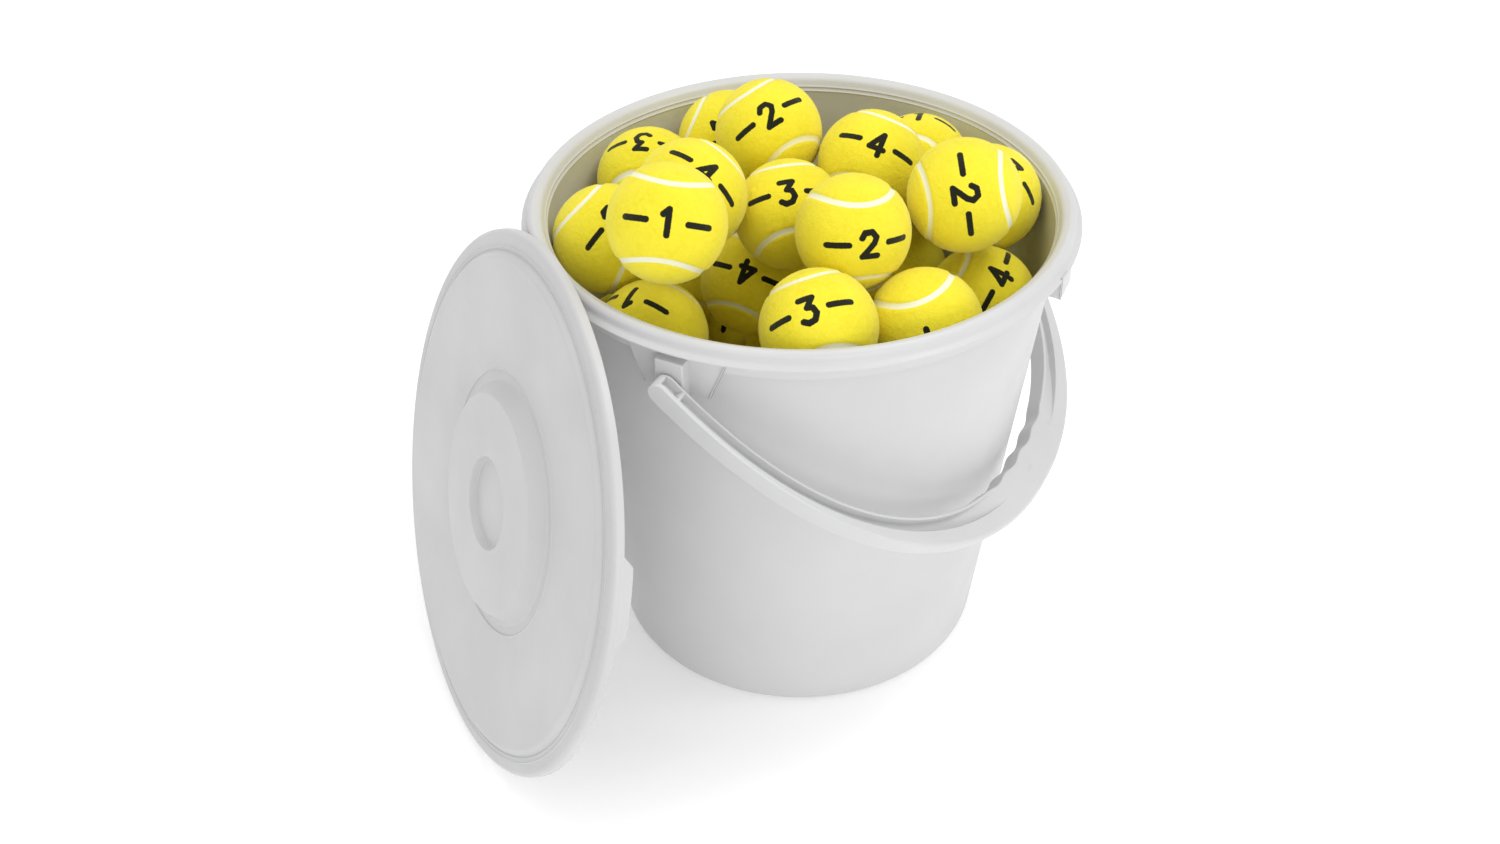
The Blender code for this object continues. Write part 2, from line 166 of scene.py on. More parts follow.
def finish_mesh(name, shape, materials):
    """Turn a bmesh into a smooth-shaded piece with its materials, and free it."""
    mesh = bpy.data.meshes.new(name)
    shape.to_mesh(mesh)
    shape.free()
    for material in materials:
        mesh.materials.append(material)
    mesh.shade_smooth()
    piece = bpy.data.objects.new(name, mesh)
    bpy.context.scene.collection.objects.link(piece)
    return piece


floor_paper, floor_shader, floor_place = new_material("floor_paper")
floor_tone = mottle(floor_paper, floor_place, 2.0, 2.0, 0.0, 1.0)
floor_colour = blend_colours(floor_paper, floor_tone, FLOOR_DULL, FLOOR_PALE)
join(floor_paper, floor_colour, floor_shader.inputs["Base Color"])
floor_shader.inputs["Roughness"].default_value = 0.9
floor_shader.inputs["Emission Color"].default_value = (1.0, 1.0, 1.0, 1.0)
floor_shader.inputs["Emission Strength"].default_value = FLOOR_GLOW
floor_shader.inputs["Specular IOR Level"].default_value = 0.1
floor_bm = bmesh.new()
bmesh.ops.create_grid(floor_bm, x_segments=4, y_segments=4, size=FLOOR_HALF)
bmesh.ops.translate(floor_bm, vec=(0.0, 0.0, -FLOOR_DROP), verts=floor_bm.verts)
floor = finish_mesh("floor", floor_bm, [floor_paper])

# ---------------------------------------------------------------------------------------------
# Bucket: one injection moulding in white polypropylene. Its tapered wall ends in a rolled bead
# with a flared edge and a collar, and carries two handle lugs and two small pry tabs.
# ---------------------------------------------------------------------------------------------
BUCKET_WHITE = (0.625, 0.625, 0.629, 1.0)
BUCKET_SHADE = (0.595, 0.595, 0.60, 1.0)
SCUFF_GREY = (0.58, 0.58, 0.57, 1.0)
TURN_STEPS = 224
RIM_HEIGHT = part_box("bucket")[1][2]
BASE_RADIUS = 0.120
NECK_RADIUS = 0.1515
COLLAR_RADIUS = 0.158
FLARE_RADIUS = 0.165
FLARE_HEIGHT = RIM_HEIGHT - 0.0088
UNDER_RIM = FLARE_HEIGHT - 0.0010
NECK_HEIGHT = 0.278
COLLAR_LOW = 0.2875
FLOOR_OF_BUCKET = 0.0030
FOOT_RECESS = 0.0016
LUG_LOW = RIM_HEIGHT - 0.0355
LUG_HIGH = RIM_HEIGHT - 0.0135
LUG_HALF_ANGLES = (math.radians(7.2), math.radians(10.4))
BEARING_HALF_WIDTH = 0.0085
RIM_TAB_HALF_ANGLES = (math.radians(3.2), math.radians(3.6))
SCRATCH_DEPTH = 0.16
SCRATCH_ROUGHNESS = 0.2
PLASTIC_SPECULAR = 0.42
WELD_GAP = 0.000002


def moulded_plastic(name, colour, shade, roughness):
    """White plastic: faint cloudiness, an orange-peel skin, and fine rubbed scratches."""
    material, shader, place = new_material(name)
    cloud = mottle(material, place, 14.0, 3.0, 0.0, 1.0)
    body = blend_colours(material, cloud, colour, shade)
    stretched = add_node(
        material, "ShaderNodeMapping", {"Vector": place, "Scale": (30.0, 30.0, 420.0)}
    ).outputs["Vector"]
    hair = add_node(
        material,
        "ShaderNodeTexNoise",
        {"Vector": stretched, "Scale": 1.0, "Detail": 4.0, "Distortion": 0.6},
    ).outputs["Fac"]
    patch = mottle(material, place, 11.0, 2.0, -0.9, 1.0)
    line = add_node(
        material, "ShaderNodeMapRange", {"Value": hair, 1: 0.60, 2: 0.66, 3: 0.0, 4: 1.0}
    ).outputs["Result"]
    rubbed = add_node(
        material, "ShaderNodeMath", {0: line, 1: patch}, operation="MULTIPLY", use_clamp=True
    ).outputs["Value"]
    faint = add_node(
        material, "ShaderNodeMath", {0: rubbed, 1: SCRATCH_DEPTH}, operation="MULTIPLY"
    ).outputs["Value"]
    worn = blend_colours(material, faint, body, SCUFF_GREY)
    join(material, worn, shader.inputs["Base Color"])
    gloss = mottle(material, place, 35.0, 3.0, roughness - 0.05, roughness + 0.07)
    matt = add_node(
        material,
        "ShaderNodeMath",
        {0: rubbed, 1: SCRATCH_ROUGHNESS, 2: gloss},
        operation="MULTIPLY_ADD",
    ).outputs["Value"]
    join(material, matt, shader.inputs["Roughness"])
    peel = add_node(
        material, "ShaderNodeTexNoise", {"Vector": place, "Scale": 700.0, "Detail": 2.0}
    ).outputs["Fac"]
    skin = add_node(
        material, "ShaderNodeBump", {"Height": peel, "Strength": 0.12, "Distance": 0.0004}
    )
    wave = add_node(
        material, "ShaderNodeTexNoise", {"Vector": place, "Scale": 26.0, "Detail": 1.0}
    ).outputs["Fac"]
    sunk = add_node(
        material,
        "ShaderNodeBump",
        {"Height": wave, "Strength": 0.25, "Distance": 0.0012, "Normal": skin.outputs["Normal"]},
    )
    join(material, sunk.outputs["Normal"], shader.inputs["Normal"])
    shader.inputs["Specular IOR Level"].default_value = PLASTIC_SPECULAR
    return material


def rounded_run(corners):
    """Points of an outline whose (radius, height, bend) corners are rounded by their bend."""
    run = [Vector((corners[0][0], 0.0, corners[0][1]))]
    for before, corner, after in zip(corners, corners[1:], corners[2:]):
        tip = Vector((corner[0], 0.0, corner[1]))
        to_before = Vector((before[0], 0.0, before[1])) - tip
        to_after = Vector((after[0], 0.0, after[1])) - tip
        reach = min(corner[2], 0.45 * to_before.length, 0.45 * to_after.length)
        start = tip + to_before.normalized() * reach
        end = tip + to_after.normalized() * reach
        steps = 5 if reach > 0.0008 else 3
        for i in range(steps + 1):
            t = i / steps
            run.append(start * (1 - t) ** 2 + tip * (2 * t * (1 - t)) + end * t**2)
    run.append(Vector((corners[-1][0], 0.0, corners[-1][1])))
    return run


def turned(corners):
    """A closed shell turned about Z from an outline that starts and ends on the axis."""
    shape = bmesh.new()
    verts = [shape.verts.new(point) for point in rounded_run(corners)]
    edges = [shape.edges.new(pair) for pair in zip(verts, verts[1:])]
    bmesh.ops.spin(
        shape,
        geom=verts + edges,
        cent=(0.0, 0.0, 0.0),
        axis=(0.0, 0.0, 1.0),
        angle=math.tau,
        steps=TURN_STEPS,
        use_merge=True,
    )
    bmesh.ops.remove_doubles(shape, verts=shape.verts, dist=WELD_GAP)
    bmesh.ops.recalc_face_normals(shape, faces=shape.faces)
    return shape


def soften_edges(shape, width, sharper_than=math.radians(35)):
    """Round every edge that is sharper than an angle."""
    sharp = [e for e in shape.edges if e.is_manifold and e.calc_face_angle() > sharper_than]
    bmesh.ops.bevel(
        shape,
        geom=sharp,
        offset=width,
        offset_type="OFFSET",
        affect="EDGES",
        segments=3,
        profile=0.5,
        material=-1,
        clamp_overlap=True,
    )


def curved_block(radii, heights, half_angles, azimuth, edge):
    """A block bent round Z, its half angle changing from bottom to top, with soft edges."""
    shape = bmesh.new()
    bmesh.ops.create_cube(shape, size=1.0)
    along = [e for e in shape.edges if abs(e.verts[0].co.y - e.verts[1].co.y) > 0.5]
    bmesh.ops.subdivide_edges(shape, edges=along, cuts=15)
    for vert in shape.verts:
        x, y, z = vert.co + Vector((0.5, 0.0, 0.5))
        radius = radii[0] + x * (radii[1] - radii[0])
        half = half_angles[0] + z * (half_angles[1] - half_angles[0])
        angle = azimuth + 2.0 * y * half
        vert.co = (
            radius * math.cos(angle),
            radius * math.sin(angle),
            heights[0] + z * (heights[1] - heights[0]),
        )
    soften_edges(shape, edge)
    return shape


def soft_box(low, high, edge):
    """A box between two corners, with soft edges."""
    shape = bmesh.new()
    bmesh.ops.create_cube(shape, size=1.0)
    low = Vector(low)
    high = Vector(high)
    bmesh.ops.scale(shape, vec=high - low, verts=shape.verts)
    bmesh.ops.translate(shape, vec=(low + high) / 2, verts=shape.verts)
    soften_edges(shape, edge)
    return shape


def absorb(shape, other):
    """Add another bmesh to a shape, and free it."""
    carrier = bpy.data.meshes.new("carrier")
    other.to_mesh(carrier)
    other.free()
    shape.from_mesh(carrier)
    bpy.data.meshes.remove(carrier)


def keep_flats_flat(piece):
    """Let each large face set the shading of its rounded edges, so steps and rims stay crisp."""
    flats = piece.modifiers.new("flat_faces", "WEIGHTED_NORMAL")
    flats.mode = "FACE_AREA"
    flats.weight = 50


bucket_bm = turned(
    [
        (0.0, FLOOR_OF_BUCKET, 0.0),
        (0.1172, FLOOR_OF_BUCKET, 0.0045),
        (0.1498, 0.2900, 0.0010),
        (0.1501, 0.2962, 0.0003),
        (0.1495, 0.2970, 0.0003),
        (0.1503, 0.2978, 0.0003),
        (0.1509, 0.2988, 0.0003),
        (0.1504, 0.2996, 0.0003),
        (0.1513, 0.3006, 0.0004),
        (0.1532, 0.3042, 0.0020),
        (0.1580, RIM_HEIGHT + 0.0003, 0.0030),
        (0.1609, 0.3044, 0.0020),
        (0.1618, 0.3002, 0.0012),
        (FLARE_RADIUS, FLARE_HEIGHT + 0.0009, 0.0006),
        (FLARE_RADIUS, FLARE_HEIGHT, 0.0003),
        (COLLAR_RADIUS + 0.0010, UNDER_RIM, 0.0010),
        (COLLAR_RADIUS, COLLAR_LOW, 0.0006),
        (COLLAR_RADIUS - 0.0018, COLLAR_LOW, 0.0006),
        (COLLAR_RADIUS - 0.0015, UNDER_RIM, 0.0006),
        (NECK_RADIUS + 0.0012, UNDER_RIM, 0.0006),
        (NECK_RADIUS, NECK_HEIGHT, 0.0010),
        (BASE_RADIUS + 0.0003, 0.0022, 0.0030),
        (BASE_RADIUS - 0.0030, 0.0, 0.0014),
        (BASE_RADIUS - 0.0080, 0.0, 0.0010),
        (BASE_RADIUS - 0.0095, FOOT_RECESS, 0.0010),
        (0.0, FOOT_RECESS, 0.0),
    ]
)
for lug_azimuth in (0.0, math.pi):
    apron_bm = curved_block(
        (0.1505, 0.1585),
        (LUG_LOW, LUG_HIGH),
        LUG_HALF_ANGLES,
        lug_azimuth,
        0.0009,
    )
    absorb(bucket_bm, apron_bm)
    bearing_bm = soft_box(
        (0.1560, -BEARING_HALF_WIDTH, LUG_LOW - 0.0035),
        (0.1652, BEARING_HALF_WIDTH, LUG_HIGH),
        0.0010,
    )
    turn_to_side = Matrix.Rotation(lug_azimuth, 4, "Z")
    bmesh.ops.transform(bearing_bm, matrix=turn_to_side, verts=bearing_bm.verts)
    absorb(bucket_bm, bearing_bm)
for tab_azimuth in (-math.pi / 2, math.pi / 2):
    tab_bm = curved_block(
        (0.1568, 0.1643),
        (0.2850, FLARE_HEIGHT + 0.0012),
        RIM_TAB_HALF_ANGLES,
        tab_azimuth,
        0.0007,
    )
    absorb(bucket_bm, tab_bm)
bucket_plastic = moulded_plastic("bucket_plastic", BUCKET_WHITE, BUCKET_SHADE, 0.38)
bucket = finish_mesh("bucket_shell", bucket_bm, [bucket_plastic])
keep_flats_flat(bucket)
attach(bucket, "bucket_full")
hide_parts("bucket")

# ---------------------------------------------------------------------------------------------
# Handle: a one-piece polypropylene bail of H section. Channels lighten both faces of its arms,
# the hand grip is solid with shallow finger waves, and a pin at each end turns in a lug.
# ---------------------------------------------------------------------------------------------
HANG_ANGLE = math.radians(39.7)
BAIL_POWER = 2.21
OUTER_SPAN = (0.1775, 0.2135)
INNER_SPAN = (0.1667, 0.1885)
INNER_POWER = 2.3
CHANNEL_OUTER = (0.1748, 0.2005)
CHANNEL_INNER = (0.1684, 0.1905)
GRIP_HALF = 0.050
WAVE_DEPTH = 0.0018
HALF_THICK = 0.0065
CHANNEL_DEPTH = 0.0052
ARM_STEPS = 150
END_STEPS = 9
EDGE_STEPS = 4
EDGE_ROUND = 0.0012
LIP_ROUND = 0.0003
RUN_OUT_ANGLES = (math.radians(64.0), math.radians(78.0))
PIN_RADIUS = 0.0036
PIN_LENGTH = 0.0115
PIN_MIDDLE = 0.1622
swing = next(j for j in frame["joints"] if j["name"] == "handle_swing")
PIVOT = Vector(swing["pos_m"])


def bail_radius(span, angle, power=BAIL_POWER):
    """Distance from the pivot line's middle to a rounded outline, at an angle from the line."""
    across = abs(math.cos(angle)) / span[0]
    out = abs(math.sin(angle)) / span[1]
    return (across**power + out**power) ** (-1.0 / power)


def inner_reach(angle):
    """Where the bail's inner edge lies at an angle, with the grip's shallow finger waves."""
    radius = bail_radius(INNER_SPAN, angle, INNER_POWER)
    across = radius * math.cos(angle)
    fade = max(0.0, 1.0 - (across / GRIP_HALF) ** 6)
    return radius + WAVE_DEPTH * (1.0 - math.cos(4.0 * math.pi * across / GRIP_HALF)) / 2 * fade


def channel_share(along, angle):
    """How deep the channel is cut at a distance along the arm, from none, 0, to full, 1."""
    def gate(value, start, end):
        return max(0.0, min(1.0, (value - start) / (end - start)))

    pocket = gate(along, -0.0030, -0.0022) * (1.0 - gate(along, 0.0070, 0.0078))
    channel = gate(along, 0.0098, 0.0106)
    run_out = 1.0 - gate(angle, *RUN_OUT_ANGLES)
    return max(pocket, channel * run_out)


def bail_section(angle, along, thick):
    """One closed section of the bail as (distance out, height over its middle plane) pairs."""
    inner = inner_reach(angle)
    outer = bail_radius(OUTER_SPAN, angle)
    wave = inner - bail_radius(INNER_SPAN, angle, INNER_POWER)
    lip_in = bail_radius(CHANNEL_INNER, angle, INNER_POWER) + wave
    lip_out = bail_radius(CHANNEL_OUTER, angle)
    middle = (lip_in + lip_out) / 2
    depth = min(CHANNEL_DEPTH * channel_share(along, angle), 0.8 * thick)
    draft = 0.06 * depth
    edge_in = min(EDGE_ROUND, 0.42 * (lip_in - inner), thick)
    grip = max(0.0, math.sin(angle) - 0.75) * 4.0
    edge_out = min(EDGE_ROUND + 0.0018 * grip, 0.42 * (outer - lip_out), thick)
    lip = LIP_ROUND * min(1.0, depth / 0.001)
    half = [(inner, 0.0)]
    for i in range(EDGE_STEPS + 1):
        turn = math.pi / 2 * i / EDGE_STEPS
        out = inner + edge_in * (1 - math.cos(turn))
        half.append((out, thick - edge_in * (1 - math.sin(turn))))
    half += [
        (lip_in - lip, thick),
        (lip_in, thick - lip),
        (lip_in + draft, thick - depth + lip),
        (lip_in + draft + lip, thick - depth),
        (middle, thick - depth),
        (lip_out - draft - lip, thick - depth),
        (lip_out - draft, thick - depth + lip),
        (lip_out, thick - lip),
        (lip_out + lip, thick),
    ]
    for i in range(EDGE_STEPS + 1):
        turn = math.pi / 2 * i / EDGE_STEPS
        out = outer - edge_out * (1 - math.sin(turn))
        half.append((out, thick - edge_out * (1 - math.cos(turn))))
    under = [(out, -height) for out, height in reversed(half)]
    return half + [(outer, 0.0)] + under[:-1]


def bail_place(side, angle, out, height, beyond):
    """Where a section's point lies: across, out from the pivot line, and over the flat."""
    across = side * out * math.cos(angle)
    reach = out * math.sin(angle) - beyond
    return Vector((across, -reach, height))


sections = []
for i in range(END_STEPS):
    turn = math.pi / 2 * (1.0 - i / END_STEPS) * 0.96
    sections.append((0.0, HALF_THICK * math.sin(turn), HALF_THICK * math.cos(turn)))
for i in range(ARM_STEPS + 1):
    share = i / ARM_STEPS
    angle = math.pi / 2 * (0.35 * share + 0.65 * share**1.4)
    sections.append((angle, 0.0, HALF_THICK))
handle_bm = bmesh.new()
last_ring = None
full_run = [(1, *row) for row in sections] + [(-1, *row) for row in reversed(sections[:-1])]
for side, angle, beyond, thick in full_run:
    along = bail_radius(INNER_SPAN, angle) * math.sin(angle) - beyond
    points = [
        bail_place(side, angle, out, height, beyond)
        for out, height in bail_section(angle, along, thick)
    ]
    if last_ring is None:
        ring = [handle_bm.verts.new(point) for point in points]
        ring_edges = [handle_bm.edges.new((a, b)) for a, b in zip(ring, ring[1:] + ring[:1])]
        first_ring = list(ring_edges)
    else:
        grown = bmesh.ops.extrude_edge_only(handle_bm, edges=last_ring)["geom"]
        ring_edges = [e for e in grown if isinstance(e, bmesh.types.BMEdge)]
        fresh = {vert for edge in ring_edges for vert in edge.verts}
        ring = [
            next(e.other_vert(vert) for e in vert.link_edges if e.other_vert(vert) in fresh)
            for vert in ring
        ]
        for vert, point in zip(ring, points):
            vert.co = point
    last_ring = ring_edges
for end_ring in (first_ring, last_ring):
    bmesh.ops.contextual_create(handle_bm, geom=end_ring)
bmesh.ops.recalc_face_normals(handle_bm, faces=handle_bm.faces)
for side in (-1, 1):
    pin_bm = bmesh.new()
    bmesh.ops.create_cone(
        pin_bm,
        cap_ends=True,
        segments=40,
        radius1=PIN_RADIUS,
        radius2=PIN_RADIUS,
        depth=PIN_LENGTH,
    )
    soften_edges(pin_bm, 0.0006)
    to_arm = Matrix.Translation((side * PIN_MIDDLE, 0, 0)) @ Matrix.Rotation(math.pi / 2, 4, "Y")
    bmesh.ops.transform(pin_bm, matrix=to_arm, verts=pin_bm.verts)
    absorb(handle_bm, pin_bm)
hang = Matrix.Translation(PIVOT) @ Matrix.Rotation(HANG_ANGLE, 4, "X")
bmesh.ops.transform(handle_bm, matrix=hang, verts=handle_bm.verts)
handle_plastic = moulded_plastic("handle_plastic", BUCKET_WHITE, BUCKET_SHADE, 0.36)
handle = finish_mesh("bail_handle", handle_bm, [handle_plastic])
keep_flats_flat(handle)
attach(handle, "handle")
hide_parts("handle")

# ---------------------------------------------------------------------------------------------
# Lid: a thin moulded disc that snaps over the rim. A ribbed flange steps up to its dished
# panel, and a round boss with a shallow dimple, where the plastic was injected, stands inside.
# ---------------------------------------------------------------------------------------------
# The lid is the same white plastic as the bucket. Its two tones are made a little darker than the bucket's, which
# is painted shade on the lid.
LID_WHITE_WITH_PAINTED_SHADE = (0.60, 0.60, 0.604, 1.0)
LID_MOTTLE_WITH_PAINTED_SHADE = (0.565, 0.565, 0.57, 1.0)
LID_RADIUS = 0.163
LID_FACING = math.radians(141.8)
LID_LEAN = math.radians(16.9)
BOSS_HEIGHT = 0.0138
DIMPLE_FLOOR = 0.0093
BOSS_UNDERSIDE = 0.0120
DIMPLE_UNDERSIDE = 0.0075
FLANGE_HEIGHT = 0.0060
RIB_HEIGHT = 0.0066
LID_TAB_AZIMUTHS = (math.radians(17.0), math.radians(197.0))
LID_TAB_HALF_ANGLES = (math.radians(7.0), math.radians(10.0))
tip = next(j for j in frame["joints"] if j["name"] == "lid_tip")
lid_foot = Vector((tip["pos_m"][0], tip["pos_m"][1], 0.0))
lid_bm = turned(
    [
        (0.0, DIMPLE_FLOOR, 0.0),
        (0.0264, DIMPLE_FLOOR, 0.0010),
        (0.0282, BOSS_HEIGHT, 0.0006),
        (0.0658, BOSS_HEIGHT, 0.0012),
        (0.0735, 0.0047, 0.0014),
        (0.0790, 0.0047, 0.0008),
        (0.0797, 0.0056, 0.0004),
        (0.0806, 0.0052, 0.0004),
        (0.1462, 0.0092, 0.0024),
        (0.1482, 0.0082, 0.0012),
        (0.1500, FLANGE_HEIGHT, 0.0008),
        (0.1505, FLANGE_HEIGHT, 0.0002),
        (0.1511, RIB_HEIGHT, 0.0003),
        (0.1517, FLANGE_HEIGHT, 0.0003),
        (0.1532, FLANGE_HEIGHT, 0.0003),
        (0.1538, RIB_HEIGHT, 0.0003),
        (0.1544, FLANGE_HEIGHT, 0.0003),
        (0.1602, 0.0062, 0.0018),
        (0.1625, 0.0044, 0.0012),
        (LID_RADIUS, 0.0, 0.0004),
        (0.1618, 0.0, 0.0004),
        (0.1610, 0.0036, 0.0008),
        (0.1594, 0.0044, 0.0008),
        (0.1498, 0.0042, 0.0008),
        (0.1464, 0.0074, 0.0010),
        (0.0800, 0.0034, 0.0010),
        (0.0723, 0.0027, 0.0010),
        (0.0646, BOSS_UNDERSIDE, 0.0020),
        (0.0302, BOSS_UNDERSIDE, 0.0006),
        (0.0284, DIMPLE_UNDERSIDE, 0.0010),
        (0.0, DIMPLE_UNDERSIDE, 0.0),
    ]
)
for tab_azimuth in LID_TAB_AZIMUTHS:
    tab_bm = curved_block(
        (0.1614, 0.1629),
        (-0.0055, 0.0020),
        LID_TAB_HALF_ANGLES,
        tab_azimuth,
        0.0005,
    )
    absorb(lid_bm, tab_bm)
stand = Matrix.Rotation(LID_FACING + math.pi / 2, 4, "Z") @ Matrix.Rotation(
    math.pi / 2 - LID_LEAN, 4, "X"
)
across_lean = LID_RADIUS * math.sin(LID_LEAN)
lid_middle = lid_foot + Vector(
    (
        -across_lean * math.cos(LID_FACING),
        -across_lean * math.sin(LID_FACING),
        LID_RADIUS * math.cos(LID_LEAN),
    )
)
lid_stand = Matrix.Translation(lid_middle) @ stand
bmesh.ops.transform(lid_bm, matrix=lid_stand, verts=lid_bm.verts)
# The lid's plastic takes the darker whites, painted shade over the bucket's own white.
lid_plastic = moulded_plastic("lid_plastic", LID_WHITE_WITH_PAINTED_SHADE, LID_MOTTLE_WITH_PAINTED_SHADE, 0.40)
lid = finish_mesh("bucket_lid", lid_bm, [lid_plastic])
keep_flats_flat(lid)
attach(lid, "lid")
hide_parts("lid")

# ---------------------------------------------------------------------------------------------
# Tennis balls: a hollow rubber core wrapped in two dumb-bell felt panels. White rubber shows in
# the seam between the panels, and a number between two bars is printed on both waists.
# ---------------------------------------------------------------------------------------------
FELT_BRIGHT = (0.93, 0.80, 0.045, 1.0)
FELT_DEEP = (0.82, 0.71, 0.022, 1.0)
SEAM_WHITE = (0.86, 0.86, 0.66, 1.0)
INK = (0.012, 0.014, 0.010, 1.0)
SEAM_A = 0.813
SEAM_B = 0.187
SEAM_HALF = 0.0017
INK_HALF = 0.0017
DIGIT_HEIGHT = 0.0135
BAR_SPAN = (0.0112, 0.0218)
SEEN_ROUNDNESS = 6
HIDDEN_ROUNDNESS = 5
GROOVE_DEPTH = 0.00075
FUZZ_DEPTH = 0.00009
FELT_INSET = 0.00012
WAIST_DEPTH = 0.35
OFF_PRINT = (0.1, 0.1, 0.0)
SEAM_STEPS = 360
BATCH = 2000
TOSS_SEED = 20

# How each ball that shows lies to someone at the camera: its print's middle to the right of and
# above the ball's own middle, in ball radii, and the direction in degrees in which it reads.
LIE_OF_BALLS = {
    "ball_01": (0.00, 0.02, -8),
    "ball_02": (0.28, -0.21, 2),
    "ball_03": (-0.17, 0.28, 17),
    "ball_04": (-0.12, 0.18, 160),
    "ball_05": (-0.39, 0.66, 146),
    "ball_06": (0.12, 0.40, 50),
    "ball_07": (-0.13, 0.72, 166),
    "ball_08": (0.27, 0.40, -43),
    "ball_09": (-0.14, 0.27, 68),
    "ball_10": (0.00, 0.33, 35),
    "ball_11": (-0.03, 0.38, 9),
    "ball_12": (0.12, 0.36, -22),
    "ball_13": (0.00, 0.95, -25),
    "ball_14": (0.03, 0.02, -81),
    "ball_15": (0.44, 0.50, -42),
    "ball_16": (0.33, 0.43, 62),
    "ball_17": (0.10, -0.25, 198),
}

# Each digit is drawn in pen strokes on a field two units wide and three high, from -1 to 1 and
# from -1.5 to 1.5.
DIGIT_STROKES = {
    "one": [(-0.55, 0.85), (0.1, 1.5), (0.1, -1.5)],
    "two": [(-0.9, 0.8), (-0.5, 1.4), (0.4, 1.45), (0.9, 0.8), (0.6, 0.1), (-0.9, -1.5), (0.95, -1.5)],
    "three": [
        (-0.85, 1.5), (0.8, 1.5), (-0.05, 0.35), (0.6, 0.2),
        (0.9, -0.55), (0.5, -1.3), (-0.3, -1.5), (-0.9, -1.15),
    ],
    "four": [(0.45, -1.5), (0.45, 1.5), (-0.95, -0.65), (0.95, -0.65)],
}


def pen_distance(material, point, start, end):
    """The distance from a print coordinate to a straight pen stroke."""
    along = Vector((*end, 0.0)) - Vector((*start, 0.0))
    offset = add_node(
        material,
        "ShaderNodeVectorMath",
        {0: point, 1: (*start, 0.0)},
        operation="SUBTRACT",
    ).outputs["Vector"]
    projected = add_node(
        material,
        "ShaderNodeVectorMath",
        {0: offset, 1: along / along.length_squared},
        operation="DOT_PRODUCT",
    ).outputs["Value"]
    share = add_node(
        material, "ShaderNodeClamp", {"Value": projected, "Min": 0.0, "Max": 1.0}
    ).outputs["Result"]
    foot = add_node(
        material,
        "ShaderNodeVectorMath",
        {0: along, "Scale": share},
        operation="SCALE",
    ).outputs["Vector"]
    gap = add_node(
        material, "ShaderNodeVectorMath", {0: offset, 1: foot}, operation="SUBTRACT"
    ).outputs["Vector"]
    return add_node(
        material, "ShaderNodeVectorMath", {0: gap}, operation="LENGTH"
    ).outputs["Value"]


def ball_felt(digit):
    """Fuzzy yellow felt with a white rubber seam, and one number printed between two bars."""
    material, shader, place = new_material(f"ball_felt_{digit}")
    on_ball = add_node(
        material, "ShaderNodeAttribute", attribute_name="on_ball"
    ).outputs["Vector"]
    nap = add_node(
        material, "ShaderNodeTexNoise", {"Vector": place, "Scale": 1500.0, "Detail": 3.0}
    ).outputs["Fac"]
    tufts = mottle(material, place, 380.0, 4.0, 0.0, 1.0)
    cloud = mottle(material, place, 70.0, 3.0, 0.0, 1.0)
    shade = add_node(
        material, "ShaderNodeMath", {0: tufts, 1: cloud}, operation="MULTIPLY"
    ).outputs["Value"]
    felt = blend_colours(material, shade, FELT_BRIGHT, FELT_DEEP)

    scale = DIGIT_HEIGHT / 3.0
    corners = [(x * scale, y * scale) for x, y in DIGIT_STROKES[digit]]
    strokes = list(zip(corners, corners[1:]))
    for side in (-1.0, 1.0):
        strokes.append(((side * BAR_SPAN[0], 0.0), (side * BAR_SPAN[1], 0.0)))
    nearest = None
    for start, end in strokes:
        distance = pen_distance(material, on_ball, start, end)
        if nearest is not None:
            distance = add_node(
                material, "ShaderNodeMath", {0: nearest, 1: distance}, operation="MINIMUM"
            ).outputs["Value"]
        nearest = distance
    frayed = add_node(
        material, "ShaderNodeMath", {0: nap, 1: 0.0006, 2: nearest}, operation="MULTIPLY_ADD"
    ).outputs["Value"]
    printed = add_node(
        material,
        "ShaderNodeMapRange",
        {"Value": frayed, 1: INK_HALF + 0.0002, 2: INK_HALF + 0.0005, 3: 1.0, 4: 0.0},
    ).outputs["Result"]
    inked = blend_colours(material, printed, felt, INK)

    seam_gap = add_node(
        material, "ShaderNodeAttribute", attribute_name="seam_gap"
    ).outputs["Fac"]
    ragged = add_node(
        material, "ShaderNodeMath", {0: nap, 1: 0.0007, 2: seam_gap}, operation="MULTIPLY_ADD"
    ).outputs["Value"]
    rubber = add_node(
        material,
        "ShaderNodeMapRange",
        {"Value": ragged, 1: SEAM_HALF + 0.0001, 2: SEAM_HALF + 0.0006, 3: 1.0, 4: 0.0},
    ).outputs["Result"]
    colour = blend_colours(material, rubber, inked, SEAM_WHITE)
    join(material, colour, shader.inputs["Base Color"])
    rough = add_node(
        material, "ShaderNodeMapRange", {"Value": rubber, 1: 0.0, 2: 1.0, 3: 0.95, 4: 0.6}
    ).outputs["Result"]
    join(material, rough, shader.inputs["Roughness"])
    fuzz = add_node(
        material, "ShaderNodeMath", {0: tufts, 1: 0.6, 2: nap}, operation="MULTIPLY_ADD"
    ).outputs["Value"]
    felt_only = add_node(
        material, "ShaderNodeMapRange", {"Value": rubber, 1: 0.0, 2: 1.0, 3: 0.55, 4: 0.05}
    ).outputs["Result"]
    bump = add_node(
        material, "ShaderNodeBump", {"Height": fuzz, "Strength": felt_only, "Distance": 0.0007}
    )
    join(material, bump.outputs["Normal"], shader.inputs["Normal"])
    shader.inputs["Specular IOR Level"].default_value = 0.15
    shader.inputs["Sheen Weight"].default_value = 0.35
    shader.inputs["Sheen Roughness"].default_value = 0.45
    shader.inputs["Sheen Tint"].default_value = (1.0, 0.97, 0.55, 1.0)
    return material


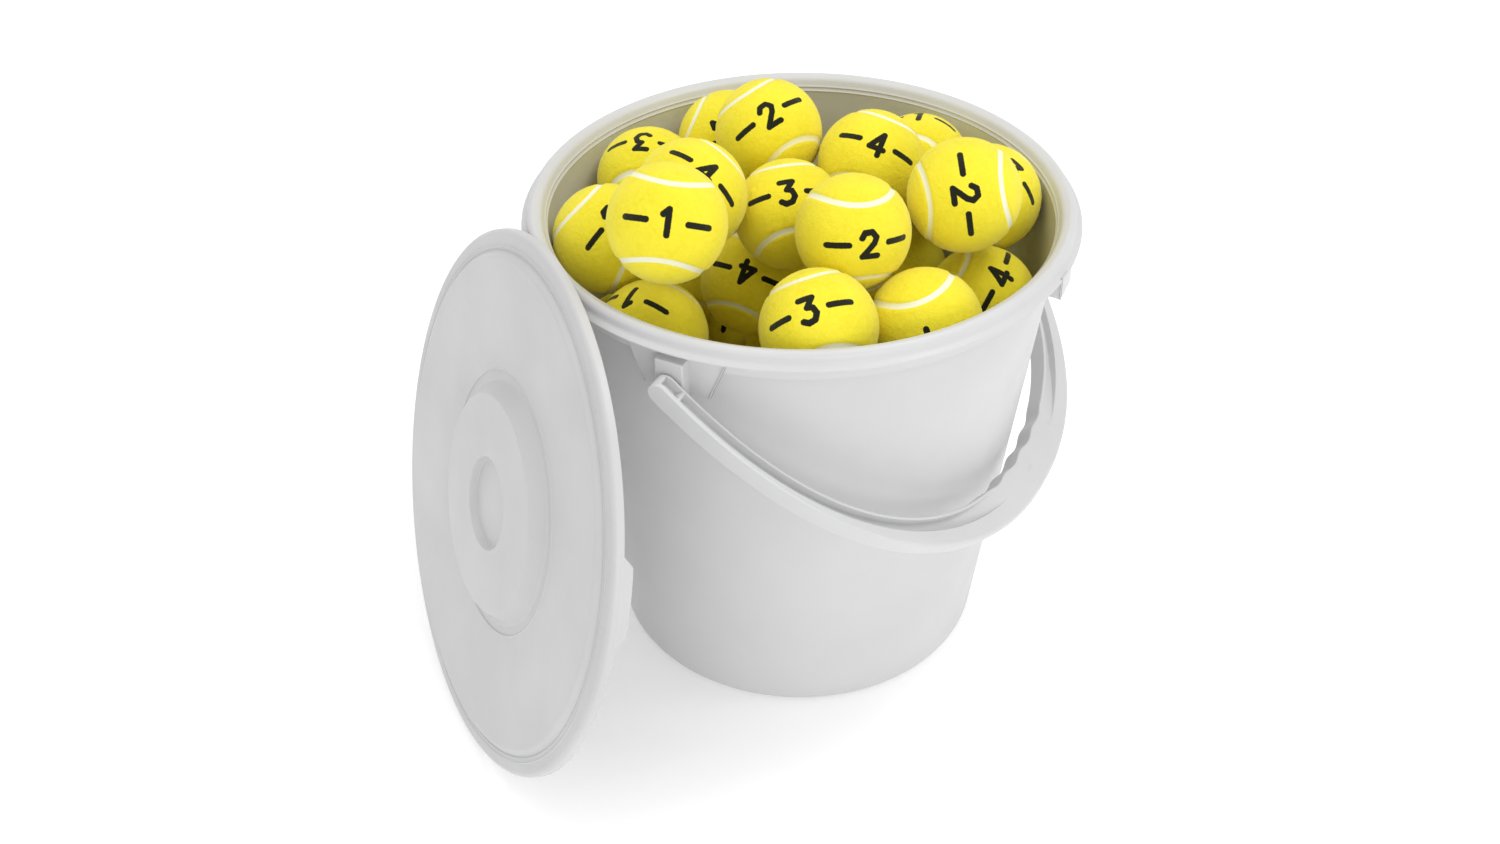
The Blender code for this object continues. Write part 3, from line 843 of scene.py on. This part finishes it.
def seam_points():
    """Points along the seam of a ball of radius 1: reading direction, up and out of a waist."""
    t = np.linspace(0.0, math.tau, SEAM_STEPS, endpoint=False)
    x = SEAM_A * np.cos(t) + SEAM_B * np.cos(3 * t)
    y = SEAM_A * np.sin(t) - SEAM_B * np.sin(3 * t)
    z = 2.0 * math.sqrt(SEAM_A * SEAM_B) * np.sin(2 * t)
    root = math.sqrt(2.0)
    return np.stack(((x - y) / root, (x + y) / root, z), axis=1)


def lie_matrix(centre, right, up, reading):
    """The turn that sets a ball's print where it is told, as seen from the camera."""
    to_eye = (CAMERA_PLACE - centre).normalized()
    across = (view_right - to_eye * view_right.dot(to_eye)).normalized()
    over = to_eye.cross(across)
    facing = math.sqrt(max(0.0, 1.0 - right**2 - up**2))
    pole = (across * right + over * up + to_eye * facing).normalized()
    angle = math.radians(reading)
    read = across * math.cos(angle) + over * math.sin(angle)
    read = (read - pole * read.dot(pole)).normalized()
    return Matrix((read, pole.cross(read), pole)).transposed()


def wrapped_ball(roundness, radius):
    """A ball's shape at its own middle, with its seam groove and its seam and print attributes."""
    shape = bmesh.new()
    bmesh.ops.create_icosphere(shape, subdivisions=roundness, radius=1.0)
    mesh = bpy.data.meshes.new(f"ball_shape_{roundness}")
    shape.to_mesh(mesh)
    shape.free()
    unit = np.empty(len(mesh.vertices) * 3)
    mesh.vertices.foreach_get("co", unit)
    unit = unit.reshape(-1, 3)
    unit /= np.linalg.norm(unit, axis=1)[:, None]
    path = seam_points()
    gap = np.empty(len(unit))
    for start in range(0, len(unit), BATCH):
        block = unit[start:start + BATCH]
        gap[start:start + BATCH] = np.arccos(np.clip(block @ path.T, -1.0, 1.0)).min(axis=1)
    gap *= radius
    groove = 1.0 / (1.0 + (gap / (1.15 * SEAM_HALF)) ** 6)
    lip = np.exp(-(((gap - 1.8 * SEAM_HALF) / 0.0009) ** 2))
    depth = -GROOVE_DEPTH * groove + 0.00010 * lip
    fuzz = np.array([noise.fractal(Vector(p) * 16.0, 0.8, 2.2, 3) for p in unit])
    depth += FUZZ_DEPTH * fuzz * (1.0 - groove)
    places = unit * (radius - FELT_INSET + depth)[:, None]
    mesh.vertices.foreach_set("co", places.ravel())
    seam = mesh.attributes.new("seam_gap", "FLOAT", "POINT")
    seam.data.foreach_set("value", gap)
    flat = unit * radius
    flat[:, 0] *= np.where(unit[:, 2] < 0.0, -1.0, 1.0)
    flat[:, 2] = 0.0
    flat[np.abs(unit[:, 2]) < WAIST_DEPTH] = OFF_PRINT
    on_ball = mesh.attributes.new("on_ball", "FLOAT_VECTOR", "POINT")
    on_ball.data.foreach_set("vector", flat.ravel())
    return mesh


felts = [ball_felt(digit) for digit in DIGIT_STROKES]
ball_names = sorted(name for name in frame["nodes"] if name.startswith("ball_"))
low, high = (Vector(corner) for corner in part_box(ball_names[0]))
ball_radius = (high - low).z / 2
shapes = {
    roundness: wrapped_ball(roundness, ball_radius)
    for roundness in (SEEN_ROUNDNESS, HIDDEN_ROUNDNESS)
}
bodies = frame["record"]["behaviour"]["bodies"]
toss = random.Random(TOSS_SEED)
for number, name in enumerate(ball_names):
    low, high = (Vector(corner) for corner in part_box(name))
    centre = (low + high) / 2
    if name in LIE_OF_BALLS:
        turn = lie_matrix(centre, *LIE_OF_BALLS[name])
        mesh = shapes[SEEN_ROUNDNESS].copy()
    else:
        turn = lie_matrix(centre, 0.0, toss.uniform(-0.9, 0.9), toss.uniform(0.0, 360.0))
        mesh = shapes[HIDDEN_ROUNDNESS].copy()
    mesh.name = name + "_felt"
    mesh.transform(Matrix.Translation(centre) @ turn.to_4x4())
    mesh.materials.append(felts[number % len(felts)])
    mesh.shade_smooth()
    ball = bpy.data.objects.new(name + "_felt", mesh)
    bpy.context.scene.collection.objects.link(ball)
    body = next(key for key, members in bodies.items() if name in members)
    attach(ball, body)
    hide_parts(name)
for mesh in shapes.values():
    bpy.data.meshes.remove(mesh)
